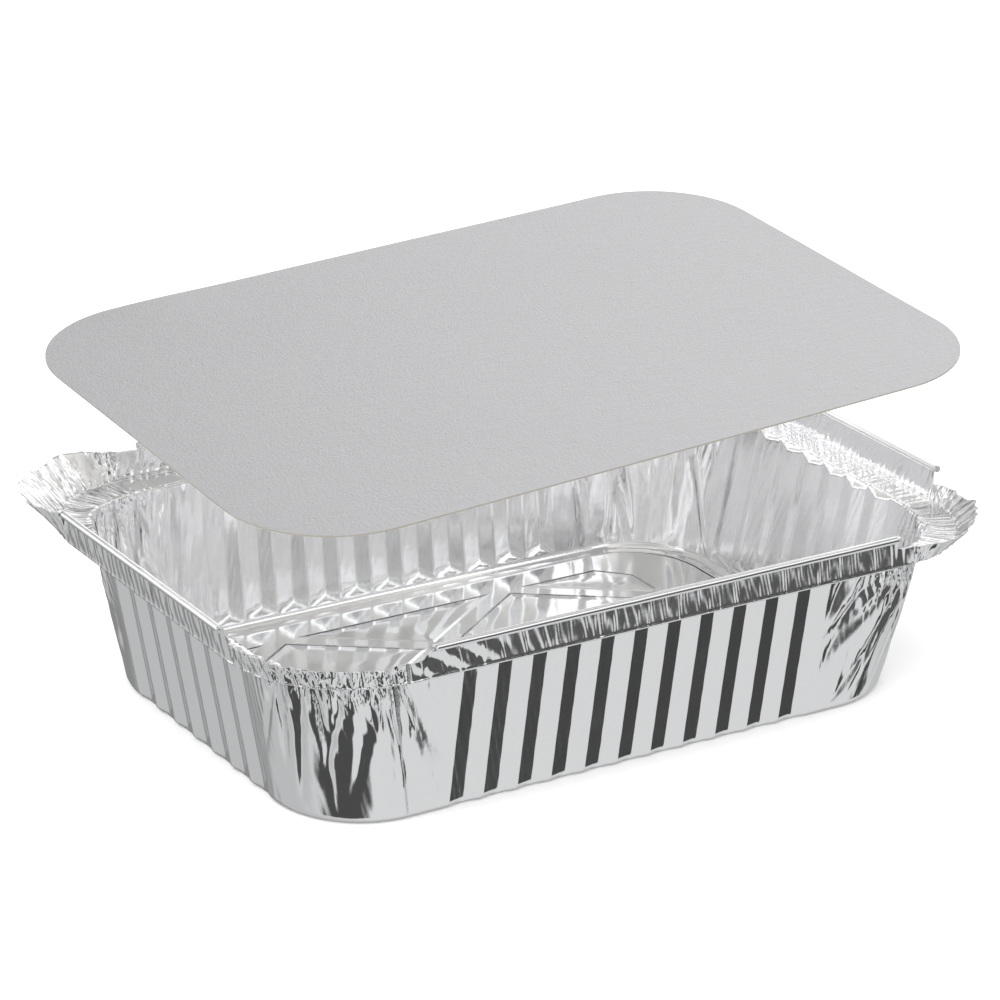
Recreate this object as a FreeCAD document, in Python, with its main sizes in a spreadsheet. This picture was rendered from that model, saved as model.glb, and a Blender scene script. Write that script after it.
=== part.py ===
import FreeCAD, Part
import Sketcher
import math
import os

# Foil food container: a pressed aluminium tray and its foil-faced board lid.
# Millimetres, +Z up. The origin is the middle of the tray's base, on the table.
# The lid is held above the tray, tipped as a hand holds it before it is laid on.

doc = FreeCAD.newDocument("foil_container")
sheet = doc.addObject("Spreadsheet::Sheet", "Sizes")

# Every size that can be set by itself, with the name that the model reads it by
sizes = {
    "foil": 0.25,                   # wall of the pressed foil
    "base_length": 177.0,           # outside of the flat bottom
    "base_width": 118.6,
    "base_radius": 24.0,
    "mouth_length": 193.6,          # outside of the walls where they meet the ledge
    "mouth_width": 131.4,
    "mouth_radius": 24.6,
    "ledge_height": 43.3,           # top of the ledge that the lid sits on
    "foot_length": 208.4,           # outside of the flange at its foot
    "foot_width": 146.4,
    "foot_radius": 31.0,
    "rim_length": 210.4,            # outside of the flange at its top
    "rim_width": 147.2,
    "rim_radius": 31.6,
    "rim_height": 51.5,             # middle of the curled edge
    "curl_radius": 1.1,             # outside of the curled edge
    "curl_length": 136.0,           # curled part of each long side
    "curl_width": 82.0,             # curled part of each short side
    "long_plain_end": 8.0,          # least length without grooves at each end of a side
    "short_plain_end": 0.5,
    "flute_pitch": 9.79,
    "flute_width": 8.6,
    "flute_depth": 1.05,
    "flute_run_out": 4.0,           # height over which a flute fades at each end
    "pleats": 10,                   # gathers round each corner
    "pleat_depth": 1.1,
    "ear_pleat_depth": 1.5,
    "front_left_ear_height": 48.4,
    "front_left_ear_flare": 2.5,
    "front_right_ear_height": 48.2,
    "front_right_ear_flare": 7.5,
    "back_right_ear_height": 50.0,
    "back_right_ear_flare": 6.0,
    "back_left_ear_height": 51.2,
    "back_left_ear_flare": 9.0,
    "panel_length": 144.0,          # raised diamonds in the base
    "panel_width": 95.0,
    "panel_rise": 1.2,
    "panel_slope": 1.2,
    "panel_shift": -5.0,
    "diamond_length": 70.0,
    "diamond_width": 48.0,
    "rib_width": 4.2,
    "lid_thickness": 0.45,
    "lid_clearance": 1.5,           # round the lid, inside the flange
    "lid_seat_gap": 0.15,           # under the lid when it is down
    "swing_angle": 4.7,             # how far the lid is swung up from its seat
    "swing_arm": 628.0,             # distance from the swing's axis to the seat's middle
    "swing_bearing": -44.0,         # direction of the axis in plan, from +X
    "swing_slope": 10.0,            # how far the lid's first move leans from upright
}

for row, (alias, value) in enumerate(sizes.items(), start=1):
    sheet.set("A%d" % row, alias)
    sheet.set("B%d" % row, str(value))
    sheet.setAlias("B%d" % row, alias)
doc.recompute()


def size(alias):
    return float(getattr(sheet, alias))


foil = size("foil")
pleats = int(size("pleats"))


# As many grooves as a straight side has room for
def flute_count(side, plain_end):
    straight = size(side) - 2 * size("base_radius") - 2 * size(plain_end)
    return int(straight / size("flute_pitch"))


long_flutes = flute_count("base_length", "long_plain_end")
short_flutes = flute_count("base_width", "short_plain_end")


# Outlines: closed loops of straight pieces round the tray, one point list per height.
# Each loop has the same points in the same order, so that two loops join face by face.
# flutes: depth of the upright grooves in the straight sides; gathers: depth of the folds
# round the corners; flares: how far each corner leans out.
def outline(length, width, radius, height, flutes=0.0, gathers=0.0, flares=(0, 0, 0, 0)):
    half_x = length / 2
    half_y = width / 2
    quarter = math.pi / 2
    sides = [
        (half_x - radius, half_y, long_flutes),
        (half_y - radius, half_x, short_flutes),
        (half_x - radius, half_y, long_flutes),
        (half_y - radius, half_x, short_flutes),
    ]
    points = []
    for side, (reach, offset, count) in enumerate(sides):
        # side 0 is the front; each later side is a quarter turn further round
        along = FreeCAD.Vector(math.cos(side * quarter), math.sin(side * quarter), 0)
        outward = FreeCAD.Vector(along.y, -along.x, 0)
        line = [(-reach, 0.0)]
        for groove in range(count):
            middle = (groove - (count - 1) / 2) * size("flute_pitch")
            line.append((middle - size("flute_width") / 2, 0.0))
            line.append((middle, flutes))
            line.append((middle + size("flute_width") / 2, 0.0))
        line.append((reach, 0.0))
        for step, depth in line:
            points.append(along * step + outward * (offset - depth))
        # the corner that ends this side: the circle's middle, then folds in and out
        middle = along * reach + outward * (offset - radius)
        folds = 2 * pleats
        for fold in range(1, folds):
            share = fold / folds
            turn = side * quarter - quarter + share * quarter
            lean = flares[side] * (1 - (2 * share - 1) ** 4)
            uneven = 0.75 + 0.25 * math.sin(2.3 * fold + 1.7 * side)
            depth = gathers * uneven if fold % 2 else 0.0
            reach_out = radius + lean - depth
            points.append(middle + FreeCAD.Vector(math.cos(turn), math.sin(turn), 0) * reach_out)
    for point in points:
        point.z = height
    return points


def flat_face(points):
    return Part.Face(Part.makePolygon(points + [points[0]]))


# A solid of flat faces through loops of points: a face of four corners where they lie in
# one plane, and two triangles where the strip between two loops is twisted
def loft(loops):
    faces = [flat_face(loops[0]), flat_face(loops[-1])]
    for low, high in zip(loops, loops[1:]):
        for a, b, c, d in zip(low, low[1:] + low[:1], high[1:] + high[:1], high):
            normal = (b - a).cross(d - a)
            normal.normalize()
            if abs(normal.dot(c - a)) < 1e-7:
                faces.append(flat_face([a, b, c, d]))
            else:
                faces.append(flat_face([a, b, c]))
                faces.append(flat_face([a, c, d]))
    skin = Part.makeCompound(faces)
    skin.sewShape()
    solid = Part.makeSolid(skin.Shells[0])
    if solid.Volume < 0:
        solid.reverse()
    return solid


# The pressed tray as an outer form less an inner form, a foil's thickness apart
def cup(inset, floor, top):
    run_out = size("flute_run_out")
    foot = size("base_length"), size("base_width"), size("base_radius")
    mouth = size("mouth_length"), size("mouth_width"), size("mouth_radius")
    rows = [
        (floor, 0.0, 0.0),
        (run_out, size("flute_depth"), 0.3 * size("pleat_depth")),
        (size("ledge_height") - run_out, size("flute_depth"), size("pleat_depth")),
        (top, 0.0, size("pleat_depth")),
    ]
    loops = []
    for height, flutes, gathers in rows:
        share = height / size("ledge_height")
        length, width, radius = (a + (b - a) * share for a, b in zip(foot, mouth))
        loops.append(
            outline(
                length - 2 * inset, width - 2 * inset, radius - inset, height, flutes, gathers
            )
        )
    return loft(loops)


ears = {
    "front_right": (1, -1),
    "back_right": (1, 1),
    "back_left": (-1, 1),
    "front_left": (-1, -1),
}


def flange(inset, foot_height, over):
    flares = [size(ear + "_ear_flare") for ear in ears]
    foot = outline(
        size("foot_length") - 2 * inset,
        size("foot_width") - 2 * inset,
        size("foot_radius") - inset,
        foot_height,
        gathers=0.5 * size("pleat_depth"),
    )
    tops = [
        outline(
            size("rim_length") - 2 * inset,
            size("rim_width") - 2 * inset,
            size("rim_radius") - inset,
            height,
            gathers=size("ear_pleat_depth"),
            flares=flares,
        )
        for height in ([size("rim_height")] + ([size("rim_height") + over] if over else []))
    ]
    return loft([foot] + tops)


# Raised diamonds in the base: one low block with sloping edges, cut by crossing ribs
def diamonds(lift):
    rise = size("panel_rise")
    slope = size("panel_slope") / rise
    below = 0.5

    def rectangle(height):
        half_x = size("panel_length") / 2 - slope * height
        half_y = size("panel_width") / 2 - slope * height
        cut = 8.0
        corners = [
            (-half_x + cut, -half_y), (half_x - cut, -half_y), (half_x, -half_y + cut),
            (half_x, half_y - cut), (half_x - cut, half_y), (-half_x + cut, half_y),
            (-half_x, half_y - cut), (-half_x, -half_y + cut),
        ]
        return [FreeCAD.Vector(x, y, height) for x, y in corners]

    block = loft([rectangle(-below), rectangle(rise)])
    pitch_x = size("diamond_length")
    pitch_y = size("diamond_width")
    reach = size("panel_length")
    lines = int(math.ceil(size("panel_length") / pitch_x)) + 1
    ribs = []
    for lean in (1, -1):
        along = FreeCAD.Vector(pitch_x, lean * pitch_y, 0)
        along.normalize()
        across = FreeCAD.Vector(-along.y, along.x, 0)
        for line in range(-lines, lines):
            middle = FreeCAD.Vector(0, (line + 0.5) * pitch_y, 0)
            start = middle - along * reach
            low = size("rib_width") / 2 - slope * below
            high = size("rib_width") / 2 + slope * (rise + below)
            section = [
                start - across * low + FreeCAD.Vector(0, 0, -below),
                start + across * low + FreeCAD.Vector(0, 0, -below),
                start + across * high + FreeCAD.Vector(0, 0, rise + below),
                start - across * high + FreeCAD.Vector(0, 0, rise + below),
            ]
            ribs.append(flat_face(section).extrude(along * 2 * reach))
    raised = block.cut(ribs)
    raised.translate(FreeCAD.Vector(size("panel_shift"), 0, lift))
    return raised


def pressed_sheet():
    ledge = size("ledge_height")
    outer = cup(0.0, 0.0, ledge - foil).fuse(flange(0.0, ledge - foil, 0.0))
    outer = outer.cut(diamonds(0.0))
    inner = cup(foil, foil, ledge).cut(diamonds(foil)).fuse(flange(foil, ledge, 2.0))
    sheet_metal = outer.cut(inner)
    # the corners stand lower than the curled sides
    reach = size("rim_length")
    for ear, (way_x, way_y) in ears.items():
        low = size(ear + "_ear_height")
        trim = Part.makeBox(reach, reach, reach)
        trim.translate(
            FreeCAD.Vector(
                size("curl_length") / 2 if way_x > 0 else -size("curl_length") / 2 - reach,
                size("curl_width") / 2 if way_y > 0 else -size("curl_width") / 2 - reach,
                low,
            )
        )
        sheet_metal = sheet_metal.cut(trim)
    return sheet_metal


pressed = doc.addObject("Part::Feature", "pressed_sheet")
pressed.Shape = pressed_sheet()

# Curled edge: a hollow roll on top of the flange along each straight side
curls = []
curl_sides = {
    "front_curl": (FreeCAD.Vector(0, -1, 0), "curl_length", "rim_width"),
    "back_curl": (FreeCAD.Vector(0, 1, 0), "curl_length", "rim_width"),
    "left_curl": (FreeCAD.Vector(-1, 0, 0), "curl_width", "rim_length"),
    "right_curl": (FreeCAD.Vector(1, 0, 0), "curl_width", "rim_length"),
}
for name, (outward, run, across) in curl_sides.items():
    roll = doc.addObject("Part::Cylinder", name + "_outside")
    roll.setExpression("Radius", "Sizes.curl_radius")
    roll.setExpression("Height", "Sizes." + run)
    hollow = doc.addObject("Part::Cylinder", name + "_hollow")
    hollow.setExpression("Radius", "Sizes.curl_radius - Sizes.foil")
    hollow.setExpression("Height", "Sizes." + run)
    along = FreeCAD.Vector(abs(outward.y), abs(outward.x), 0)
    middle = outward * (size(across) / 2 + size("curl_radius") - foil)
    start = middle - along * (size(run) / 2) + FreeCAD.Vector(0, 0, size("rim_height"))
    turn = FreeCAD.Rotation(FreeCAD.Vector(0, 0, 1), along)
    roll.Placement = FreeCAD.Placement(start, turn)
    hollow.Placement = FreeCAD.Placement(start, turn)
    curl = doc.addObject("Part::Cut", name)
    curl.Base = roll
    curl.Tool = hollow
    curls.append(curl)

tray = doc.addObject("Part::MultiFuse", "tray")
tray.Label = "tray"
tray.Shapes = [pressed] + curls
tray.Refine = False

# Lid: a flat board with round corners, a clearance smaller than the flange's inside
lid = doc.addObject("PartDesign::Body", "lid")
lid.Label = "lid"
board = lid.newObject("Sketcher::SketchObject", "board_outline")
plane = [f for f in lid.Origin.OriginFeatures if f.Role == "XY_Plane"][0]
board.AttachmentSupport = (plane, [""])
board.MapMode = "FlatFace"

half_x = size("foot_length") / 2 - foil - size("lid_clearance")
half_y = size("foot_width") / 2 - foil - size("lid_clearance")
round_corner = size("foot_radius") - foil - size("lid_clearance")
flat_x = half_x - round_corner
flat_y = half_y - round_corner
up = FreeCAD.Vector(0, 0, 1)


def corner_arc(x, y, start):
    circle = Part.Circle(FreeCAD.Vector(x, y, 0), up, round_corner)
    return Part.ArcOfCircle(circle, math.radians(start), math.radians(start + 90))


def edge_line(x1, y1, x2, y2):
    return Part.LineSegment(FreeCAD.Vector(x1, y1, 0), FreeCAD.Vector(x2, y2, 0))


# 0 to 3 are the straight edges from the front one round, 4 to 7 the corners after each
board.addGeometry(
    [
        edge_line(-flat_x, -half_y, flat_x, -half_y),
        edge_line(half_x, -flat_y, half_x, flat_y),
        edge_line(flat_x, half_y, -flat_x, half_y),
        edge_line(-half_x, flat_y, -half_x, -flat_y),
        corner_arc(flat_x, -flat_y, 270),
        corner_arc(flat_x, flat_y, 0),
        corner_arc(-flat_x, flat_y, 90),
        corner_arc(-flat_x, -flat_y, 180),
    ],
    False,
)
start_index, end_index = 1, 2
corner_index = 4
for edge in range(4):
    board.addConstraint(
        Sketcher.Constraint("Tangent", edge, end_index, corner_index + edge, start_index)
    )
    board.addConstraint(
        Sketcher.Constraint(
            "Tangent", corner_index + edge, end_index, (edge + 1) % 4, start_index
        )
    )
board.addConstraint(Sketcher.Constraint("Horizontal", 0))
board.addConstraint(Sketcher.Constraint("Vertical", 1))
board.addConstraint(Sketcher.Constraint("Horizontal", 2))
board.addConstraint(Sketcher.Constraint("Vertical", 3))
board.addConstraint(Sketcher.Constraint("Equal", 4, 5))
board.addConstraint(Sketcher.Constraint("Equal", 4, 6))
board.addConstraint(Sketcher.Constraint("Equal", 4, 7))
origin_index = -1
lid_constraints = [
    ("corner", Sketcher.Constraint("Radius", 4, round_corner),
     "Sizes.foot_radius - Sizes.foil - Sizes.lid_clearance"),
    ("length", Sketcher.Constraint("DistanceX", 3, start_index, 1, start_index, 2 * half_x),
     "Sizes.foot_length - 2 * (Sizes.foil + Sizes.lid_clearance)"),
    ("width", Sketcher.Constraint("DistanceY", 0, start_index, 2, start_index, 2 * half_y),
     "Sizes.foot_width - 2 * (Sizes.foil + Sizes.lid_clearance)"),
    ("right", Sketcher.Constraint("DistanceX", origin_index, 1, 1, start_index, half_x),
     "Sizes.foot_length / 2 - Sizes.foil - Sizes.lid_clearance"),
    ("back", Sketcher.Constraint("DistanceY", origin_index, 1, 2, start_index, half_y),
     "Sizes.foot_width / 2 - Sizes.foil - Sizes.lid_clearance"),
]
for name, constraint, rule in lid_constraints:
    index = board.addConstraint(constraint)
    board.renameConstraint(index, name)
    board.setExpression("Constraints." + name, rule)
pad = lid.newObject("PartDesign::Pad", "board")
pad.Profile = board
pad.setExpression("Length", "Sizes.lid_thickness")
lid.Tip = pad

# The lid's place: on its seat, then swung up about a far, level axis
bearing = math.radians(size("swing_bearing"))
slope = math.radians(size("swing_slope"))
axis = FreeCAD.Vector(math.cos(bearing), math.sin(bearing), 0)
level_out = up.cross(axis)
arm = (level_out * math.cos(slope) + up * math.sin(slope)) * size("swing_arm")
seat = FreeCAD.Vector(0, 0, size("ledge_height") + size("lid_seat_gap"))
pivot = seat - arm
swing = FreeCAD.Rotation(axis, size("swing_angle"))
lid.Placement = FreeCAD.Placement(pivot + swing.multVec(seat - pivot), swing)

doc.recompute()
for item in doc.Objects:
    if "Invalid" in item.State or "Error" in item.State:
        raise RuntimeError("%s did not build: %s" % (item.Name, item.State))

os.makedirs("parts", exist_ok=True)
for item in (tray, lid):
    shape = item.Shape
    if shape.isNull() or not shape.isValid() or len(shape.Solids) != 1:
        raise RuntimeError("%s is not one valid solid" % item.Label)
    shape.exportStep("parts/%s.step" % item.Label)
    box = shape.BoundBox
    print(item.Label, "faces", len(shape.Faces), "volume", round(shape.Volume, 1),
          "x", round(box.XMin, 2), round(box.XMax, 2), "y", round(box.YMin, 2), round(box.YMax, 2),
          "z", round(box.ZMin, 2), round(box.ZMax, 2))
print("swing axis", tuple(round(v, 5) for v in axis), "through", tuple(round(v, 3) for v in pivot))
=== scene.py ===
# Foil food container: looks for the pressed tray and its board lid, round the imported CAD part.
# Lengths in the settings are millimetres unless they say otherwise; meshes are made in metres.
import itertools
import math
import random
from collections import namedtuple

import bpy
from mathutils import Matrix, Vector, noise


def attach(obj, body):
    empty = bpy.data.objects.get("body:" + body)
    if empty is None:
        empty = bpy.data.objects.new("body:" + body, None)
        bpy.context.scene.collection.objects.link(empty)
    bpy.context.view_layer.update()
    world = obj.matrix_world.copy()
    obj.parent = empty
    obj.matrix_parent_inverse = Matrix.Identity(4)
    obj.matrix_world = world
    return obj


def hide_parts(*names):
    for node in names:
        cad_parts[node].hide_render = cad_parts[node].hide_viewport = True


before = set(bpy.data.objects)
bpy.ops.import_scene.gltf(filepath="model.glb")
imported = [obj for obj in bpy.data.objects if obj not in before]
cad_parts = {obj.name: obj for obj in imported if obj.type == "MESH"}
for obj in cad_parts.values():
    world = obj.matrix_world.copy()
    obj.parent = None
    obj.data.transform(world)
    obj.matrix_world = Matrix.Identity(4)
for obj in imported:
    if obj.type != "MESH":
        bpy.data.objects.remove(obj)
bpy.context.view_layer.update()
mm = 0.001


def linearColour(hexCode):
    parts = [int(hexCode[i:i + 2], 16) / 255 for i in (1, 3, 5)]
    return [c / 12.92 if c <= 0.04045 else ((c + 0.055) / 1.055) ** 2.4 for c in parts] + [1.0]


# Adds a node of this kind, with its operation after a space, and sets its properties and inputs:
# the first ones in order, others by name or as iN by number. A node or socket given is linked.
def addNode(tree, kind, *values, props=None, **inputs):
    kind, _, operation = kind.partition(" ")
    node = tree.nodes.new(kind)
    if operation:
        node.operation = operation
    for key, value in (props or {}).items():
        setattr(node, key, value)
    for key, value in [*enumerate(values), *inputs.items()]:
        if isinstance(key, str):
            key = int(key[1:]) if key[1:].isdigit() else key.replace("_", " ")
        if isinstance(value, bpy.types.Node):
            value = value.outputs[0]
        if isinstance(value, bpy.types.NodeSocket):
            tree.links.new(value, node.inputs[key])
        else:
            node.inputs[key].default_value = value
    return node


def newMaterial(name):
    material = bpy.data.materials.new(name)
    material.use_nodes = True
    material.node_tree.nodes.clear()
    return material


def smooth(low, high, value):
    share = min(1.0, max(0.0, (value - low) / (high - low)))
    return share * share * (3 - 2 * share)


def mix(a, b, share):
    return a + (b - a) * share


# Sides and corners are numbered from the front: front, right, back, left, and front right,
# back right, back left, front left
tray = {
    "base": (177.0, 118.6, 24.0),       # length, width and corner radius, outside
    "mouth": (193.6, 131.4, 24.6),
    "foot": (208.4, 146.4, 31.0),
    "rim": (210.4, 147.2, 31.6),
    "ledge": 43.05,                     # underside of the ledge
    "ledgeLift": 0.12,                  # most that its beads stand up, below the lid when it is down
    "rimHeight": 51.5,
    "foil": 0.2,
    "curlLength": 136.0,
    "curlWidth": 82.0,
    "grooves": (11, 7, 11, 7),
    "pitch": 9.79,
    "grooveWidth": 9.1,
    "grooveColumns": (-4.55, -4.35, -2.3, -0.6, -0.1, 0.15, 0.35, 0.55, 0.8, 2.3, 4.35, 4.55),
    "valley": 0.35,
    "valleyRound": 0.03,
    "grooveDepth": 1.05,
    "grooveFoot": (-0.5, 2.3, 2.3, -0.5),
    "grooveTop": 42.7,
    "footRun": (2.2, 2.5, 3.2, 2.2),    # height over which a groove ends at the foot
    "topRun": (0.9, 0.9, 2.4, 1.6),
    "slanted": 7,                       # grooves of the front cut off slantwise, from the left
    "slant": 0.5,
    "wallWave": 0.10,
    "beadPitch": 4.5,
    "beadHeight": 0.28,
    "ledgeWave": 0.3,
    "ledgeCorner": 0.6,
    "footBead": 0.28,
    "flangeWave": 0.10,
    "frontWave": (0.5, 9.0),            # height and length of the waves at the left end of the front
    "frontWaved": (-74, -68, -58, -44),     # from where to where they run
    "dashes": (0.28, 4.3),              # height and pitch of the dashes along the left flange
    "nick": (0.9, 1.3),                 # depth and half width of the crease where a curl ends
    "earHeight": (48.2, 50.0, 51.2, 48.4),
    "earFlare": (7.5, 6.0, 9.0, 2.5),
    "earRagged": (0.9, 0.45),
    "pleats": 12,
    "cornerSteps": 66,
    "endSteps": (14, 7),                # on the plain wall beside a corner, long and short sides
    "floorInset": 3.2,                  # where the floor's own sheet begins
}
# One column of points up the tray: its place along the side, its share of the way over the plain
# wall to the corner, and the depth and number of its groove
gridColumn = namedtuple("gridColumn", "side kind first share depth groove")


# depth of a groove, from 0 to 1: rounded valley a little right of the middle, crisp shoulders
def grooveShape(x):
    off = x - tray["valley"]
    flank = tray["grooveWidth"] / 2 + math.copysign(tray["valley"], -off)
    return max(0.0, 1 - math.sqrt(off * off + tray["valleyRound"]) / flank)


def makeColumns():
    found = []
    local = tray["grooveColumns"]
    for side, count in enumerate(tray["grooves"]):
        edge = (count - 1) / 2 * tray["pitch"] + local[-1]
        steps = tray["endSteps"][side % 2]
        shares = [k / steps for k in range(1, steps + 1)]
        found += [gridColumn(side, "end", -edge, -share, 0.0, None) for share in reversed(shares)]
        for groove in range(count):
            middle = (groove - (count - 1) / 2) * tray["pitch"]
            found += [gridColumn(side, "groove", middle + x, 0.0, grooveShape(x), groove) for x in local]
        found += [gridColumn(side, "end", edge, share, 0.0, None) for share in shares]
        found += [gridColumn(side, "corner", step / tray["cornerSteps"], 0.0, 0.0, None)
                  for step in range(1, tray["cornerSteps"])]
    return found


columns = makeColumns()


# Where a column stands in the outline of this size: its place and the outward direction
def place(column, size, inset=0.0, bulge=0.0):
    length, width, radius = size[0] - 2 * inset, size[1] - 2 * inset, size[2] - inset
    halves = (length / 2, width / 2) if column.side % 2 == 0 else (width / 2, length / 2)
    reach, offset = halves[0] - radius, halves[1]
    along = Vector((math.cos(column.side * math.pi / 2), math.sin(column.side * math.pi / 2)))
    outward = Vector((along.y, -along.x))
    if column.kind == "corner":
        turn = (column.side - 1 + column.first) * math.pi / 2
        way = Vector((math.cos(turn), math.sin(turn)))
        return along * reach + outward * (offset - radius) + way * (radius + bulge), way
    step = column.first
    if column.kind == "end":
        step = math.copysign(mix(abs(step), reach, abs(column.share)), step)
    return along * step + outward * (offset + bulge), outward


# distance round the tray at its mouth, for the texture's coordinates and the crumple
def measureRound():
    spots = [place(column, tray["mouth"])[0] for column in columns]
    return list(itertools.accumulate(((b - a).length for a, b in zip(spots, spots[1:])), initial=0.0))


roundAt = measureRound()

crumple = {
    "arc": 38.0,                        # length round a corner
    "plainEnd": (10.6, 1.0),            # plain wall that the folds may run on into, long and short sides
    "edgeRun": 3.5,
    "seeds": (75, 71, 72, 73),
    "leans": ((-0.75, -0.2), (-0.35, 0.35), (-0.35, 0.35), (-0.3, 0.35)),
    "widths": (0.5, 1.0, 1.0, 0.75),
    # folds fanned out over the plain wall beside the front left corner
    "fans": ((), (), (), ((36.0, 0.08, 6, 1.5, 1.3), (38.5, 0.2, 4, 1.9, 1.4), (40.0, 0.33, 16, 1.5, 1.3),
                          (37.0, 0.0, 20, 1.2, 1.2), (39.5, 0.12, 22, 1.1, 1.1))),
    # how many, how far past the corner they start, and ranges of lower end, half width and depth
    "bigFolds": (12, 8, (-3, 14), (2.4, 4.8), (0.7, 1.5)),
    "smallFolds": (17, 0, (17, 33), (1.0, 1.9), (0.4, 0.8)),
    "smallLean": (-0.2, 0.2),
    "pleats": 13,
    "pleatDepth": 0.55,
    "pleatRise": (24, 44),              # height over which they grow towards the ledge
    "fineDepth": 0.12,
    "give": 1.1,                        # depth at which folds that lie over each other stop adding up
    "wallDepth": 1.9,                   # most that the folds press in together
    "wallRise": (0.3, 4),
    "wrinkleRise": (20, 40),            # height over which the material's wrinkles grow
    "wrinkle": (0.05, 0.85),            # their amount on plain wall and under the ledge at a corner
    "flangeDepth": 2.0,
    "flangeShares": (0.35, 0.65),       # of the folds below and of the flange's own pleats
}


# Folds that hang from the ledge at a corner: place round, lean, lower end, half width, depth
def makeFolds(seed, lean, width, fan):
    chance = random.Random(seed)
    folds = list(fan)
    for kind, leans, wider in (("bigFolds", lean, width), ("smallFolds", crumple["smallLean"], 1.0)):
        count, past, ends, halves, depths = crumple[kind]
        for k in range(count):
            folds.append((chance.uniform(-past, crumple["arc"] + past), chance.uniform(*leans),
                          chance.uniform(*ends), wider * chance.uniform(*halves), chance.uniform(*depths)))
    return folds


cornerFolds = [makeFolds(*given)
               for given in zip(crumple["seeds"], crumple["leans"], crumple["widths"], crumple["fans"])]


# Which corner's folds reach a column, and how far round that corner it stands
def cornerPlace(column):
    if column.kind == "corner":
        return column.side, column.first * crumple["arc"]
    away = crumple["plainEnd"][column.side % 2] * (1 - abs(column.share))
    return (column.side, -away) if column.first > 0 else ((column.side - 1) % 4, crumple["arc"] + away)


# how far a corner's foil is pressed in at a place, where 1 is the most
def cornerFold(column, around, height):
    side, arc = cornerPlace(column)
    top = tray["ledge"]
    total = 0.0
    for start, lean, end, half, depth in cornerFolds[side]:
        level = min(1.0, (height - end) / (top - end))
        if level > 0:
            middle = start + lean * max(0.0, top - height)
            far = abs(arc - middle) / (half * (0.45 + 0.55 * level))
            total += depth * level * max(0.0, 1 - far)
    share = arc / crumple["arc"]
    phase = crumple["pleats"] * share + 0.9 * noise.noise((share * 3.1, height / 19, side * 2.2))
    total += crumple["pleatDepth"] * smooth(*crumple["pleatRise"], height) * abs(2 * (phase % 1.0) - 1)
    total += crumple["fineDepth"] * noise.noise((around / 3.1, height / 8, side * 3.3))
    before, after = crumple["plainEnd"][side % 2], crumple["plainEnd"][(side + 1) % 2]
    edge = (smooth(-before, crumple["edgeRun"] - before, arc)
            * smooth(-after, crumple["edgeRun"] - after, crumple["arc"] - arc))
    return edge * (1 - math.exp(-total / crumple["give"]))


# how far the upright edge is gathered in at a corner: close pleats with the folds below them
def flangeFold(column, around, height):
    first = column.first
    phase = tray["pleats"] * first + 0.7 * noise.noise((first * 4.3, height / 25, column.side * 5.1))
    strength = 0.75 + 0.6 * noise.noise((first * 9, height / 12, column.side * 1.3))
    pleat = abs(2 * (phase % 1.0) - 1) * strength * smooth(0, 0.06, min(first, 1 - first))
    below, own = crumple["flangeShares"]
    return below * cornerFold(column, around, height) + own * pleat


# Rows from the floor's edge up to the rim: zone, height or share of the zone, inset
wallHeights = (2.2, 2.3, 2.8, 2.9, 3.6, 4.4, 5.6, 7.0, 9.0, 11.0, 13.0, 15.0, 17.0, 19.0, 21.0, 23.0, 25.0,
               27.0, 29.0, 31.0, 33.0, 35.0, 36.6, 38.0, 39.2, 40.2, 41.0, 41.6, 42.1, 42.5, 42.8)
flangeLevels = (0.0, 0.025, 0.05, 0.075, 0.11, 0.15, 0.22, 0.32, 0.42, 0.52, 0.62, 0.72, 0.82, 0.9, 0.96, 1.0)
trayRows = [("wall", 0.0, 3.2), ("wall", 0.0, 2.2), ("wall", 0.14, 1.3), ("wall", 0.5, 0.62),
            ("wall", 1.1, 0.2), ("wall", 1.8, 0.0)]
trayRows += [("wall", height, 0.0) for height in wallHeights]
trayRows += [("ledge", share, 0.0) for share in (0.02, 0.16, 0.34, 0.55, 0.76, 0.93)]
trayRows += [("flange", share, 0.0) for share in flangeLevels]


# half the curl's length on a column's side, and how far the column stands from that side's middle
def curlReach(column):
    spot = place(column, tray["rim"])[0]
    turn = column.side * math.pi / 2
    length = tray["curlLength"] if column.side % 2 == 0 else tray["curlWidth"]
    return length / 2, spot.x * math.cos(turn) + spot.y * math.sin(turn)


def earTop(column, around):
    low = tray["earHeight"]
    if column.kind == "corner":
        coarse, fine = tray["earRagged"]
        ragged = (coarse * noise.noise((around / 5.0, 2.1, 4.4))
                  + fine * noise.noise((around / 1.7, 7.1, 1.4)))
        return low[column.side] + ragged * smooth(0, 0.15, column.first) * smooth(0, 0.15, 1 - column.first)
    reach, step = curlReach(column)
    ear = low[column.side] if step > 0 else low[column.side - 1]
    return mix(tray["rimHeight"], ear, smooth(reach - 0.3, reach + 1.2, abs(step)))


grooveJitter = random.Random(41)
grooveEnds = [[(grooveJitter.uniform(-0.25, 0.25), grooveJitter.uniform(-0.3, 0.2)) for k in range(11)]
              for side in range(4)]


# how far a groove is pressed in at a height
def groovePush(column, height):
    side = column.side
    low, high = grooveEnds[side][column.groove]
    foot = tray["grooveFoot"][side] + (low if tray["grooveFoot"][side] > 0 else 0.0)
    top = tray["grooveTop"] + high
    run = tray["topRun"][side]
    if side == 0 and column.groove < tray["slanted"]:
        run += (tray["slanted"] - column.groove) * tray["slant"]
    ends = min(1.0, max(0.0, (height - foot) / tray["footRun"][side]), max(0.0, (top - height) / run))
    return tray["grooveDepth"] * min(column.depth, ends) if height > 0 else 0.0


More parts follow.
